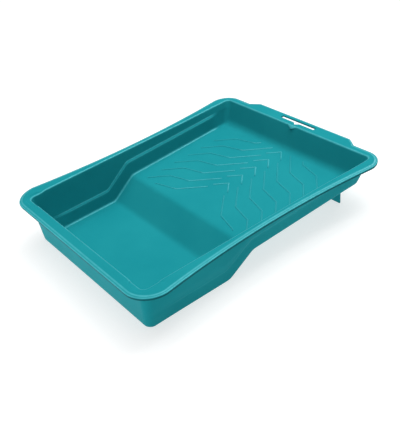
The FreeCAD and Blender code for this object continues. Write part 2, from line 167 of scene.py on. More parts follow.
# Half widths at mid length, and how far each wall leans out over the height of the tray. The
# ledge is a step of 2 mm, half of it above and half of it below its line.
MIDDLE = 175.0
FLARE_RATE = 0.0131
LOWER_HALF, LOWER_DRAFT = 117.5, 6.0
UPPER_HALF, UPPER_DRAFT = 119.0, 7.0
WALL_RISE = 61.0
LEDGE_STEP, LEDGE_REMNANT = 1.0, 0.25
LEDGE_FROM, LEDGE_GROWTH = 26.0, 34.0
LEDGE_FADE_FROM, LEDGE_FADE = 298.0, 18.0
OPENING_HALF, OPENING_SPREAD = 126.0, 1.6
SPREAD_FROM, SPREAD_LENGTH = 250.0, 70.0
RIM_HALF, WAIST = 149.0, 14.0


def floor_height(x):
    return bent_line(x, FLOOR_LINE, FLOOR_SOFTEN)


def ledge_height(x):
    return bent_line(x, LEDGE_LINE, LEDGE_SOFTEN)


def flare(x):
    """Each side wall opens out slightly towards the ramp end."""
    return (x - MIDDLE) * FLARE_RATE


def ledge_width_share(x):
    """The ledge dies out before the front and far corners."""
    grown = eased((x - LEDGE_FROM) / LEDGE_GROWTH)
    return grown * (1 - eased((x - LEDGE_FADE_FROM) / LEDGE_FADE))


def lower_half(x, z):
    return LOWER_HALF + LOWER_DRAFT * z / WALL_RISE + flare(x)


def upper_half(x, z):
    return UPPER_HALF + UPPER_DRAFT * z / WALL_RISE + flare(x)


def foot_half(x):
    return lower_half(x, floor_height(x))


def ledge_inner_half(x):
    z = ledge_height(x) - LEDGE_STEP
    inner, outer = lower_half(x, z), upper_half(x, z + 2 * LEDGE_STEP)
    return outer - LEDGE_REMNANT - (outer - LEDGE_REMNANT - inner) * ledge_width_share(x)


def ledge_outer_half(x):
    return upper_half(x, ledge_height(x) + LEDGE_STEP)


def opening_half(x):
    """The opening spreads a little more at the far end."""
    return OPENING_HALF + flare(x) + OPENING_SPREAD * eased((x - SPREAD_FROM) / SPREAD_LENGTH)


def rim_half(x):
    """The rim's sides bow in between its corners."""
    return RIM_HALF - WAIST * (1 - ((x - MIDDLE) / MIDDLE) ** 2)


# Every ring is sampled in the same runs, from the middle of the front edge round the left side
# to the middle of the far edge, so that rings pair up point by point. The points lie closer where
# the floor and the ledge bend, and on the tab at its ends, the slot's ends and the nail notch.
SPOUT_SIDE, SIDE_FROM, SIDE_TO, TAB_SEAM = 88.0, 40.0, 300.0, 97.0
CORNER_STEPS, FAR_CORNER_STEPS, SPOUT_STEPS = 20, 12, 12
LEAD_IN_STEPS, LEAD_OUT_STEPS, FAR_STEPS = 6, 6, 5
SIDE_XS = np.array(
    [SIDE_FROM, 44, 48, 52, 56, 60, 66, 72, 79, 86, 93, 100, 106]
    + [110, 112.5, 114.5, 116, 117.5, 119, 121, 122.2, WELL_END, 124.6, 126, 128, 131, 136]
    + [142, 147, 150, 152, 153.5, 155, 156.3, SLOPE_END, 158.7, 160.3, 162.5, 166, 171]
    + [177, 184, 191, 198, 206, 214, 222, 230, 238, 246, 254, 262, 270, 278, 285, 291, 296, SIDE_TO],
    float,
)
TAB_YS = np.array(
    [TAB_SEAM, 96.2, 95.4, 94.6, 93.6, 91, 88.5, 86, 84.2, 82.7, 81.9, 81.1, 80.3, 78.5, 74.5, 70]
    + [64, 58, 52, 46, 40, 34, 31.5, 30, 29, 26, 21.5, 17, 13, 9.5, 6.5, 4.6, 3.4, 2.2, 1.1, 0],
    float,
)
FRONT_STEPS = FAR_CORNER_STEPS // 2 + FAR_STEPS + len(TAB_YS) - 1 - SPOUT_STEPS - CORNER_STEPS // 2
COLUMNS = FRONT_STEPS + SPOUT_STEPS + CORNER_STEPS // 2
ROWS = CORNER_STEPS // 2 + LEAD_IN_STEPS + len(SIDE_XS) - 1 + LEAD_OUT_STEPS + FAR_CORNER_STEPS // 2


def run(first, last, steps):
    """Evenly spaced points from first to last, without the first."""
    share = np.linspace(0, 1, steps + 1)[1:, None]
    return np.array(first) * (1 - share) + np.array(last) * share


def quarter_turn(start, end, corner, steps):
    """An elliptical quarter turn towards a square corner, without its first point."""
    turn = np.linspace(0, math.pi / 2, steps + 1)[1:, None]
    start, end, corner = (np.array(point, float) for point in (start, end, corner))
    centre = start + end - corner
    return centre + (start - centre) * np.cos(turn) + (end - centre) * np.sin(turn)


def ring(front, far, half, front_radius, far_radius):
    """Half a ring: front edge, corner, side, far corner, far edge."""
    edge_y = half(front + front_radius) - front_radius
    far_y = half(far - far_radius) - far_radius
    front_side = (front + front_radius, half(front + front_radius))
    far_side = (far - far_radius, half(far - far_radius))
    lead_in = run(front_side, (SIDE_FROM, 0), LEAD_IN_STEPS)
    lead_in[:, 1] = half(lead_in[:, 0])
    lead_out = run((SIDE_TO, 0), far_side, LEAD_OUT_STEPS)
    lead_out[:, 1] = half(lead_out[:, 0])
    side = np.column_stack([SIDE_XS[1:], half(SIDE_XS[1:])])
    tab = np.column_stack([np.full(len(TAB_YS) - 1, far), TAB_YS[1:]])
    pieces = [
        np.array([(front, 0.0)]),
        run((front, 0), (front, SPOUT_SIDE), FRONT_STEPS),
        run((front, SPOUT_SIDE), (front, edge_y), SPOUT_STEPS),
        quarter_turn((front, edge_y), front_side, (front, front_side[1]), CORNER_STEPS),
        lead_in,
        side,
        lead_out,
        quarter_turn(far_side, (far, far_y), (far, far_side[1]), FAR_CORNER_STEPS),
        run((far, far_y), (far, TAB_SEAM), FAR_STEPS),
        tab,
    ]
    return np.concatenate(pieces)


FRONT, SPOUT = FRONT_STEPS, FRONT_STEPS + SPOUT_STEPS
CORNER = SPOUT + CORNER_STEPS
LEAD_IN = CORNER + LEAD_IN_STEPS
SIDE = LEAD_IN + len(SIDE_XS) - 1
LEAD_OUT = SIDE + LEAD_OUT_STEPS
FAR_CORNER = LEAD_OUT + FAR_CORNER_STEPS
TAB = FAR_CORNER + FAR_STEPS
HALF_RING = TAB + len(TAB_YS) - 1

RIM_FAR, TAB_FAR = 350.0, 358.5
TAB_OUTLINE = [(0, TAB_FAR), (81.5, TAB_FAR), (94.8, RIM_FAR), (200, RIM_FAR)]
TAB_SOFTEN = 1.2
outer_edge = ring(front=0.0, far=RIM_FAR, half=rim_half, front_radius=31.0, far_radius=25.0)
outer_edge[TAB:, 0] = bent_line(outer_edge[TAB:, 1], TAB_OUTLINE, TAB_SOFTEN)


def stepped_in(line, distance):
    """A line moved towards the inside of the tray, square to itself."""
    along = np.gradient(line, axis=0)
    along /= np.linalg.norm(along, axis=1)[:, None]
    across = np.column_stack([along[:, 1], -along[:, 0]])
    across[0] = (1, 0)
    across[-1] = (-1, 0)
    return line + across * np.reshape(distance, (-1, 1))


# The lip is the band just inside the edge, where the flange starts to turn down. It is narrower
# on the tab.
LIP_WIDTH, TAB_LIP_LOSS, TAB_LIP_BLEND = 3.6, 1.3, 6
lip_width = np.full(HALF_RING + 1, LIP_WIDTH)
lip_width[TAB:] = LIP_WIDTH - TAB_LIP_LOSS * eased((TAB_SEAM - TAB_YS) / TAB_LIP_BLEND)
lip_edge = stepped_in(outer_edge, lip_width)

opening_edge = ring(front=15.5, far=339.0, half=opening_half, front_radius=7.0, far_radius=6.0)
ledge_outer = ring(front=16.3, far=334.6, half=ledge_outer_half, front_radius=7.5, far_radius=6.0)
ledge_inner = ring(front=16.35, far=333.6, half=ledge_inner_half, front_radius=7.5, far_radius=6.0)
wall_foot = ring(front=16.7, far=RAMP_END, half=foot_half, front_radius=7.0, far_radius=7.0)

# The core is a plain rectangle on the floor, inside every bend. Beyond it the floor is flat.
CORE_FRONT, CORE_FAR, CORE_HALF, CORE_TAB = 27.0, 311.0, 105.0, 90.0
CORE_FRONT_MARKS = [
    ((CORE_FRONT, 82.0), FRONT_STEPS),
    ((CORE_FRONT, 98.0), SPOUT_STEPS),
    ((CORE_FRONT, CORE_HALF), CORNER_STEPS // 2),
    ((32.0, CORE_HALF), CORNER_STEPS // 2),
    ((SIDE_FROM, CORE_HALF), LEAD_IN_STEPS),
]
CORE_FAR_MARKS = [
    ((308.0, CORE_HALF), LEAD_OUT_STEPS),
    ((CORE_FAR, CORE_HALF), FAR_CORNER_STEPS // 2),
    ((CORE_FAR, 100.0), FAR_CORNER_STEPS // 2),
    ((CORE_FAR, CORE_TAB), FAR_STEPS),
]


def runs_through(start, marks):
    """Evenly spaced points along straight runs, each given by its end and its steps."""
    pieces = []
    for end, steps in marks:
        pieces.append(run(start, end, steps))
        start = end
    return np.concatenate(pieces)


core = np.concatenate(
    [
        np.array([(CORE_FRONT, 0.0)]),
        runs_through((CORE_FRONT, 0), CORE_FRONT_MARKS),
        np.column_stack([SIDE_XS[1:], np.full(len(SIDE_XS) - 1, CORE_HALF)]),
        runs_through((SIDE_TO, CORE_HALF), CORE_FAR_MARKS),
        np.column_stack([np.full(len(TAB_YS) - 1, CORE_FAR), TAB_YS[1:] / TAB_SEAM * CORE_TAB]),
    ]
)

# ------------------------------------------------------- the section through rim, wall and floor
# One thin skin runs from the turned-down edge over the flange and down the wall, past the ledge,
# to the floor. Every bend is rounded, tightly at the rim and widely at the far wall's foot.


def with_height(line, height):
    """A line in plan lifted to its height."""
    return np.column_stack([line, np.broadcast_to(height, len(line))])


steps_round = np.arange(HALF_RING + 1)

# The pouring spouts are shallow dishes in the rim at both well corners: their curved edge runs a
# little outside the edge of the opening, and the rim inside it lies lower.
DISH_DROP, DISH_REACH, DISH_SIDE_LOSS = 1.3, 6.6, 1.2
DISH_FRONT_FROM, DISH_FRONT_BLEND = 97.0, 13.0
DISH_SIDE_FROM, DISH_SIDE_BLEND = 22.0, 19.0
DISH_FULL_REACH = 2.6
before_corner = eased((opening_edge[:, 1] - DISH_FRONT_FROM) / DISH_FRONT_BLEND)
dish_reach = DISH_REACH * before_corner * (steps_round <= SPOUT)
round_corner = (steps_round > SPOUT) & (steps_round <= CORNER)
corner_share = eased((steps_round[round_corner] - SPOUT) / CORNER_STEPS)
dish_reach[round_corner] = DISH_REACH - DISH_SIDE_LOSS * corner_share
beside = (steps_round > CORNER) & (steps_round <= LEAD_IN)
past_corner = eased((opening_edge[beside, 0] - DISH_SIDE_FROM) / DISH_SIDE_BLEND)
dish_reach[beside] = (DISH_REACH - DISH_SIDE_LOSS) * (1 - past_corner)
dish_share = eased(dish_reach / DISH_FULL_REACH)

# The section's corners, from the foot of the turned-down edge to the floor inside the walls. The
# first and the last are its ends, and each of the others is a bend.
SKIRT_FOOT, SKIRT_TUCK = 56.0, 0.7
EDGE_DROP, LIP_DROP = 1.1, 0.3
AT_EDGE, AT_LIP, AT_OPENING, AT_LEDGE_OUTER, AT_LEDGE_INNER, AT_WALL_FOOT, AT_CORE = range(1, 8)
section = [
    with_height(stepped_in(outer_edge, np.full(HALF_RING + 1, SKIRT_TUCK)), SKIRT_FOOT),
    with_height(outer_edge, RIM_TOP - EDGE_DROP),
    with_height(lip_edge, RIM_TOP - LIP_DROP),
    with_height(opening_edge, RIM_TOP),
    with_height(ledge_outer, ledge_height(ledge_outer[:, 0]) + LEDGE_STEP),
    with_height(ledge_inner, ledge_height(ledge_inner[:, 0]) - LEDGE_STEP),
    with_height(wall_foot, floor_height(wall_foot[:, 0])),
    with_height(core, floor_height(core[:, 0])),
]

# The bends' radii, and how many rows go round each bend and along the straight run before it. The
# walls' foot is rounder at the front, and roundest at the far wall.
far_share = eased((steps_round - LEAD_OUT) / FAR_CORNER_STEPS)
front_share = 1 - eased((steps_round - SPOUT) / CORNER_STEPS)
WALL_FOOT_REACH, WALL_FOOT_FRONT, WALL_FOOT_FAR = 2.7, 1.3, 5.3
BEND_REACH = {
    AT_EDGE: 2.0,
    AT_LIP: 1.4,
    AT_OPENING: 1.9,
    AT_LEDGE_OUTER: 1.1,
    AT_LEDGE_INNER: 1.1,
    AT_WALL_FOOT: WALL_FOOT_REACH + WALL_FOOT_FRONT * front_share + WALL_FOOT_FAR * far_share,
}
BEND_STEPS = {
    AT_EDGE: 6,
    AT_LIP: 3,
    AT_OPENING: 7,
    AT_LEDGE_OUTER: 4,
    AT_LEDGE_INNER: 4,
    AT_WALL_FOOT: 7,
}
STEPS_BEFORE = {
    AT_EDGE: 1,
    AT_LIP: 1,
    AT_OPENING: 5,
    AT_LEDGE_OUTER: 8,
    AT_LEDGE_INNER: 1,
    AT_WALL_FOOT: 5,
    AT_CORE: 3,
}

# A bend takes up no more than this share of the straight run on either side of it.
MOST_OF_RUN = 0.47


def unit(vectors):
    """The vectors, each at length 1."""
    return vectors / np.maximum(np.linalg.norm(vectors, axis=1), 1e-9)[:, None]


def rounded_section():
    """The skin's outer face as rows of points, and the rows where each bend starts and ends."""
    rows = [section[0]]
    bend_rows = {}
    leave = section[0]
    for bend in range(AT_EDGE, AT_CORE + 1):
        here = section[bend]
        if bend == AT_CORE:
            arrive = here
        else:
            before, after = here - section[bend - 1], section[bend + 1] - here
            shorter = np.minimum(np.linalg.norm(before, axis=1), np.linalg.norm(after, axis=1))
            reach = np.minimum(BEND_REACH[bend], MOST_OF_RUN * shorter)[:, None]
            inward, onward = unit(before), unit(after)
            arrive = here - reach * inward
        shares = np.linspace(0, 1, STEPS_BEFORE[bend] + 1)[1:]
        if bend == AT_OPENING:
            shares = flange_shares(leave, arrive)
        for share in shares:
            share = np.reshape(share, (-1, 1)) if np.ndim(share) else share
            rows.append(leave * (1 - share) + arrive * share)
        bend_rows[bend, "start"] = len(rows) - 1
        if bend == AT_CORE:
            break
        leave = here + reach * onward
        weight = np.sqrt(np.clip((1 + np.sum(inward * onward, axis=1)) / 2, 0, 1))[:, None]
        for step in range(1, BEND_STEPS[bend] + 1):
            t = step / BEND_STEPS[bend]
            near, middle, far = (1 - t) ** 2, 2 * t * (1 - t) * weight, t * t
            rows.append((near * arrive + middle * here + far * leave) / (near + middle + far))
        bend_rows[bend, "end"] = len(rows) - 1
    return rows, bend_rows


# The hang tab's flange carries a long slot, with a small notch for a nail in the middle of its
# tray side. The rows across the flange are set out on the slot's edges there.
SLOT_FAR, SLOT_MIDDLE, SLOT_NEAR, SLOT_HALF = 352.0, 349.2, 346.5, 30.0
SLOT_MARGIN, SLOT_BLEND = 1, 14
NAIL_DEPTH, NAIL_HALF = 4.0, 4.8
TRAY_SIDE_OF_SLOT = 342.4

# Away from the slot and the dishes the rows lie at these shares of the flange's width.
FLANGE_SHARES = (0.06, 0.28, 0.52, 0.78)

# The rows that cross the dish's edge, by their distance ahead of it and their share of its drop.
# The dish runs out over the first rows below the opening's edge.
DISH_LINES = (0.7, 0.1, -0.7, -1.3)
DISH_ROWS = (0.0, 0.1, 0.9, 1.0, 1.0)
DISH_FADE_ROWS = 3


def flange_shares(leave, arrive):
    """Where the rows across the flange lie, as shares of its width."""
    y = leave[:, 1]
    near_slot = (1 - eased((y - SLOT_HALF - SLOT_MARGIN) / SLOT_BLEND)) * (steps_round >= TAB)
    notch = NAIL_DEPTH * np.clip(1 - y / NAIL_HALF, 0, 1)
    edges = [
        SLOT_FAR,
        SLOT_MIDDLE - 0.5 * notch,
        SLOT_NEAR - notch,
        TRAY_SIDE_OF_SLOT - 0.35 * notch,
    ]
    depth = leave[:, 0] - arrive[:, 0]
    width = np.linalg.norm(leave - arrive, axis=1)
    shares = []
    for share, edge, ahead in zip(FLANGE_SHARES, edges, DISH_LINES):
        wanted = (leave[:, 0] - edge) / np.where(np.abs(depth) < 1, 1, depth)
        at_slot = share * (1 - near_slot) + wanted * near_slot
        at_dish = 1 - (dish_reach + ahead - BEND_REACH[AT_OPENING]) / width
        shares.append(at_slot * (1 - dish_share) + at_dish * dish_share)
    return shares + [np.ones(HALF_RING + 1)]


half_rows, bend_rows = rounded_section()
half_rows = np.array(half_rows)
flange_start, flange_end = bend_rows[AT_LIP, "end"] + 1, bend_rows[AT_OPENING, "end"]
for row in range(flange_start, flange_end + DISH_FADE_ROWS):
    if row < flange_start + len(DISH_ROWS):
        drop = DISH_ROWS[row - flange_start]
    else:
        drop = 1.0 if row <= flange_end else 1 - (row - flange_end) / DISH_FADE_ROWS
    half_rows[row, :, 2] -= DISH_DROP * drop * dish_share
mirror = half_rows[:, -2:0:-1] * np.array([1.0, -1.0, 1.0])
rings = np.concatenate([half_rows, mirror], axis=1)
ROW_COUNT, RING = rings.shape[:2]

# The floor inside the last ring is a plain net of rows across the tray, following the well, the
# steep slope and the ramp.
front_ring = [(COLUMNS - column) % RING for column in range(2 * COLUMNS + 1)]
far_ring = [COLUMNS + ROWS + column for column in range(2 * COLUMNS + 1)]
net = np.zeros((ROWS + 1, 2 * COLUMNS + 1), int)
last_row = (ROW_COUNT - 1) * RING
points = [rings.reshape(-1, 3)]
added = ROW_COUNT * RING
for row in range(ROWS + 1):
    left, right = COLUMNS + row, (RING - COLUMNS - row) % RING
    for column in range(2 * COLUMNS + 1):
        if row == 0:
            net[row, column] = last_row + front_ring[column]
        elif row == ROWS:
            net[row, column] = last_row + far_ring[column]
        elif column == 0:
            net[row, column] = last_row + left
        elif column == 2 * COLUMNS:
            net[row, column] = last_row + right
        else:
            net[row, column] = added
            added += 1
inner = rings[-1]
front_line, far_line = inner[front_ring], inner[far_ring]
for row in range(1, ROWS):
    x = inner[COLUMNS + row, 0]
    down = (x - CORE_FRONT) / (CORE_FAR - CORE_FRONT)
    ys = front_line[1:-1, 1] * (1 - down) + far_line[1:-1, 1] * down
    points.append(np.column_stack([np.full(len(ys), x), ys, np.full(len(ys), floor_height(x))]))
top = np.vstack(points)

faces = []
face_ring = []
for row in range(ROW_COUNT - 1):
    for step in range(RING):
        after = (step + 1) % RING
        here, below = row * RING, (row + 1) * RING
        faces.append((here + step, below + step, below + after, here + after))
        face_ring.append((row, step))
for row in range(ROWS):
    for column in range(2 * COLUMNS):
        near, far = net[row], net[row + 1]
        faces.append((near[column], near[column + 1], far[column + 1], far[column]))
        face_ring.append((-1, -1))
faces = np.array(faces)
face_ring = np.array(face_ring)


def vertex_normals(places):
    """Each point's normal, from the faces round it."""
    diagonal_a = places[faces[:, 2]] - places[faces[:, 0]]
    diagonal_b = places[faces[:, 3]] - places[faces[:, 1]]
    across = unit(np.cross(diagonal_a, diagonal_b))
    total = np.zeros_like(places)
    for corner in range(4):
        np.add.at(total, faces[:, corner], across)
    return unit(total)


normals = vertex_normals(top)
under = top - SKIN * normals

# Behind the narrow ledge the skin's back runs smoothly from the upper wall to the lower one.
above = (bend_rows[AT_LEDGE_OUTER, "start"] - 2) * RING
below = (bend_rows[AT_LEDGE_INNER, "end"] + 1) * RING
for start in range(above + RING, below, RING):
    level = top[start : start + RING, 2]
    high, low = top[above : above + RING, 2], top[below : below + RING, 2]
    share = eased((high - level) / (high - low))[:, None]
    wanted = under[above : above + RING] * (1 - share) + under[below : below + RING] * share
    under[start : start + RING, :2] = wanted[:, :2]
under_normals = -vertex_normals(under)

# Each bend by how much it is painted paler and glossier, part wear and part painted highlight, and
# how far round it this is greatest. Below the opening it follows the ledge and dies out with it.
WEAR_AND_HIGHLIGHT_BENDS = (
    (AT_EDGE, 1.0, 0.75),
    (AT_LIP, 1.0, 0.5),
    (AT_OPENING, 0.9, 0.5),
    (AT_LEDGE_OUTER, 0.7, 0.5),
    (AT_LEDGE_INNER, 0.35, 0.5),
    (AT_WALL_FOOT, 0.9, 0.5),
)
# How dark, and over how many rows, the turned-down edge is painted as painted shade.
SHADE_DEPTH, SHADE_ROWS = 0.9, 2
wear_and_painted_light = np.zeros(len(top))
ledge_share = ledge_width_share(top[:RING, 0])
for bend, amount, peak in WEAR_AND_HIGHLIGHT_BENDS:
    start, end = bend_rows[bend, "start"], bend_rows[bend, "end"]
    for row in range(start, end + 1):
        along = (row - start) / (end - start)
        share = max(0.0, 1 - abs(along - peak) / 0.5)
        amount_here = amount * share * (ledge_share if bend > AT_OPENING else 1.0)
        wear_and_painted_light[row * RING : (row + 1) * RING] = amount_here
# The turned-down edge's rows take negative values, painted shade that fades up the bend.
shade_end = (bend_rows[AT_EDGE, "start"] + bend_rows[AT_EDGE, "end"]) // 2
for row in range(shade_end):
    wear_and_painted_light[row * RING : (row + 1) * RING] = -SHADE_DEPTH * min(1.0, (shade_end - row) / SHADE_ROWS)


def in_metres(places):
    """Millimetres from the rim's front edge as metres from the frame's origin."""
    moved = places.copy()
    moved[:, 0] -= FRONT_TO_ORIGIN
    return moved * MM


centres = top[faces].mean(axis=1)
step_of = face_ring[:, 1]
half_step = np.where(step_of < HALF_RING, step_of, RING - 1 - step_of)
row_of = face_ring[:, 0]
is_ring = row_of >= 0
is_left = centres[:, 1] > 0
on_rim = is_ring & (row_of < flange_end)
on_wall = is_ring & ~on_rim & (row_of < bend_rows[AT_WALL_FOOT, "end"])
on_floor = ~on_rim & ~on_wall
in_slot = (
    on_rim
    & (row_of >= flange_start)
    & (row_of < flange_start + 2)
    & (half_step >= TAB)
    & (np.abs(centres[:, 1]) < SLOT_HALF)
)


def moulded(name, chosen):
    """One region of the moulding as a closed solid: its face, its back and the cut sides."""
    chosen = chosen & ~in_slot
    own = faces[chosen]
    used = np.unique(own)
    place_of = np.full(len(top), -1)
    place_of[used] = np.arange(len(used))
    own = place_of[own]
    count = len(used)
    corners = [tuple(face) for face in own] + [tuple(face[::-1] + count) for face in own]
    shading = [normals[used[np.array(face)]] for face in own]
    shading += [under_normals[used[np.array(face[::-1])]] for face in own]
    seen = {}
    for face in own:
        for start, end in zip(face, np.roll(face, -1)):
            seen[start, end] = True
    spots = np.vstack([in_metres(top[used]), in_metres(under[used])])
    for start, end in seen:
        if (end, start) not in seen:
            side = (start, start + count, end + count, end)
            corners.append(side)
            a, b, c = (spots[index] for index in side[:3])
            flat = np.cross(b - a, c - a)
            shading.append(np.repeat([flat / max(np.linalg.norm(flat), 1e-12)], 4, axis=0))
    mesh = bpy.data.meshes.new(name)
    mesh.from_pydata(spots.tolist(), [], [tuple(int(index) for index in face) for face in corners])
    mesh.polygons.foreach_set("use_smooth", [True] * len(corners))
    mesh.materials.append(plastic)
    layer = mesh.attributes.new("wear_and_painted_light", "FLOAT", "POINT")
    layer.data.foreach_set("value", np.concatenate([wear_and_painted_light[used], np.zeros(count)]))
    mesh.update()
    mesh.normals_split_custom_set(np.vstack(shading).tolist())
    piece = bpy.data.objects.new(name, mesh)
    bpy.context.collection.objects.link(piece)
    return piece


def fitted(piece, node):
    """The piece stands for its CAD node, on the tray's one body."""
    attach(piece, "root")
    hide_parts(node)


# ------------------------------------------------------------------- the floors
# The well is the deep, level floor that stands on the ground. A steep slope rises from it to the
# long, nearly level ramp on which the roller is worked out.
floor_x = centres[:, 0]
fitted(moulded("well_floor_skin", on_floor & (floor_x < WELL_END)), "well_floor")
fitted(moulded("steep_slope_skin", on_floor & (floor_x > WELL_END) & (floor_x < SLOPE_END)), "steep_slope")
fitted(moulded("ramp_floor_skin", on_floor & (floor_x > SLOPE_END)), "ramp_floor")

# -------------------------------------------------------------------- the walls
# The front and far walls lean out a little for the mould. The side walls step out at a narrow
# ledge that follows the floor below it.
SPOUT_WALL_FROM, SPOUT_WALL_TO = SPOUT - 6, LEAD_IN + 5
in_spout_corner = (half_step >= SPOUT_WALL_FROM) & (half_step < SPOUT_WALL_TO)
spout_wall = on_wall & in_spout_corner & (row_of < flange_end + DISH_FADE_ROWS)
plain_wall = on_wall & ~spout_wall
front_part = half_step < COLUMNS
far_part = half_step >= COLUMNS + ROWS
side_part = ~front_part & ~far_part
fitted(moulded("front_wall_skin", plain_wall & front_part), "front_wall")
fitted(moulded("far_wall_skin", plain_wall & far_part), "far_wall")
well_end_step = LEAD_IN + int(np.searchsorted(SIDE_XS, WELL_END))
slope_end_step = LEAD_IN + int(np.searchsorted(SIDE_XS, SLOPE_END))
for side, on_this_side in (("left", is_left), ("right", ~is_left)):
    wall = plain_wall & side_part & on_this_side
    in_well = wall & (half_step < well_end_step)
    on_slope = wall & (half_step >= well_end_step) & (half_step < slope_end_step)
    fitted(moulded(f"well_side_{side}_skin", in_well), f"well_side_{side}")
    fitted(moulded(f"slope_side_{side}_skin", on_slope), f"slope_side_{side}")
    fitted(moulded(f"ramp_side_{side}_skin", wall & (half_step >= slope_end_step)), f"ramp_side_{side}")

# ---------------------------------------------------------------------- the rim
# A flat flange with a turned-down edge runs all round. It is broad at the front, narrow and
# waisted along the sides, and opens into a pouring spout at both corners of the well.
FRONT_CORNER_END = 60.0
corner_end_step = LEAD_IN + int(np.searchsorted(SIDE_XS, FRONT_CORNER_END))
fitted(moulded("front_rim_skin", on_rim & (half_step < FRONT)), "front_rim")
for side, on_this_side in (("left", is_left), ("right", ~is_left)):
    rim = on_rim & on_this_side
    corner = rim & (half_step >= FRONT) & (half_step < corner_end_step)
    outside_dish = corner & (row_of < flange_start + 1)
    fitted(moulded(f"front_corner_rim_{side}_skin", outside_dish), f"front_corner_rim_{side}")
    spout = (corner & ~outside_dish) | (spout_wall & on_this_side)
    fitted(moulded(f"pour_spout_{side}_skin", spout), f"pour_spout_{side}")
    along_side = rim & (half_step >= corner_end_step) & (half_step < LEAD_OUT)
    fitted(moulded(f"side_rim_{side}_skin", along_side), f"side_rim_{side}")
    far_corner = rim & (half_step >= LEAD_OUT) & (half_step < TAB)
    fitted(moulded(f"far_rim_corner_{side}_skin", far_corner), f"far_rim_corner_{side}")

# ------------------------------------------------------------------ the hang tab
# The far rim widens into a tab with chamfered ends. Its long slot hangs the tray on a hook or
# nail.
fitted(moulded("hang_tab_skin", on_rim & (half_step >= TAB)), "hang_tab")


# ------------------------------------------------------------------ the notch lug
# A small pointed lug stands on the far wall, just below the nail notch. It is widest at the top
# and tapers down the wall to a point.


def bevelled_solid(name, corners, width):
    """A closed solid between its corners, with its edges rounded."""
    hull = bmesh.new()
    for x, y, z in corners:
        hull.verts.new(((x - FRONT_TO_ORIGIN) * MM, y * MM, z * MM))
    bmesh.ops.convex_hull(hull, input=hull.verts)
    bmesh.ops.dissolve_limit(hull, angle_limit=0.01, verts=hull.verts, edges=hull.edges)
    bmesh.ops.recalc_face_normals(hull, faces=hull.faces)
    mesh = bpy.data.meshes.new(name)
    hull.to_mesh(mesh)
    hull.free()
    piece = bpy.data.objects.new(name, mesh)
    bpy.context.collection.objects.link(piece)
    rounding = piece.modifiers.new("rounding", "BEVEL")
    rounding.width = width * MM
    rounding.segments = 3
    rounding.limit_method = "NONE"
    bpy.context.view_layer.update()
    shaped = bpy.data.meshes.new_from_object(piece.evaluated_get(bpy.context.evaluated_depsgraph_get()))
    piece.modifiers.remove(rounding)
    piece.data = shaped
    shaped.name = name
    shaped.materials.clear()
    shaped.materials.append(plastic)
    shaped.polygons.foreach_set("use_smooth", [True] * len(shaped.polygons))
    shaped.attributes.new("wear_and_painted_light", "FLOAT", "POINT")
    return piece


LUG_CORNERS = [
    (340.0, 10.5, 59.7),
    (340.0, -10.5, 59.7),
    (338.0, 0.0, 59.6),
    (334.6, 0.0, 56.9),
    (338.8, 6.5, 56.0),
    (338.8, -6.5, 56.0),
    (338.6, 0.0, 54.0),
]
# The whole lug is painted paler and glossier, part wear and part painted highlight.
LUG_ROUNDING, LUG_WEAR_AND_HIGHLIGHT = 0.4, 0.8
lug = bevelled_solid("notch_lug_body", LUG_CORNERS, LUG_ROUNDING)
lug.data.attributes["wear_and_painted_light"].data.foreach_set("value", [LUG_WEAR_AND_HIGHLIGHT] * len(lug.data.vertices))
fitted(lug, "notch_lug")

# ------------------------------------------------------------------- the rear feet
# Two flat feet under the far end of the ramp hold it level. Each is a plate across the tray that
# narrows a little towards the ground.
FOOT_X, FOOT_IN, FOOT_OUT, FOOT_TOP = 310.0, 74.0, 108.0, 29.2
FOOT_THICK, FOOT_THINNED, FOOT_DRAFT, FOOT_ROUNDING = 2.2, 0.95, 1.2, 0.45
FOOT_LEVELS = ((0.0, FOOT_DRAFT, FOOT_THINNED * FOOT_THICK), (FOOT_TOP, 0.0, FOOT_THICK))
for side, turn in (("left", 1), ("right", -1)):
    corners = []
    for level, narrowed, thick in FOOT_LEVELS:
        for across in (-thick / 2, thick / 2):
            for y in (FOOT_IN + narrowed, FOOT_OUT - narrowed):
                corners.append((FOOT_X + across, turn * y, level))
    fitted(bevelled_solid(f"rear_foot_{side}_plate", corners, FOOT_ROUNDING), f"rear_foot_{side}")

# -------------------------------------------------------------- the herringbone ribs
# Low ribs moulded on the ramp point towards the tab. Each row has two cranked legs and a small
# arrow between them, and the row repeats at an even pitch.
RIB_PITCH, RIB_ROWS, RIB_START = 22.7, 7, 220.0
RIB_WIDTH, RIB_HEIGHT = 1.9, 0.55
RIBS_FROM, RIBS_TO = 165.0, 317.0
leg = [(-16.0, 16.0), (-45.0, 45.0), (-53.3, 76.0), (-75.3, 98.0)]
arrow = [(-8.5, 14.0), (5.5, 0.0)]
lines = [leg, [(x, -y) for x, y in leg], arrow + [(-8.5, -14.0)]]
spots, links = [], []
for line in lines:
    first = len(spots)
    spots += [((RIB_START + x - FRONT_TO_ORIGIN) * MM, y * MM, 0.0) for x, y in line]
    links += [(first + step, first + step + 1) for step in range(len(line) - 1)]
rib_lines = bpy.data.meshes.new("ramp_ribs_lines")
rib_lines.from_pydata(spots, links, [])
ribs = bpy.data.objects.new("ramp_ribs_row", rib_lines)
bpy.context.collection.objects.link(ribs)


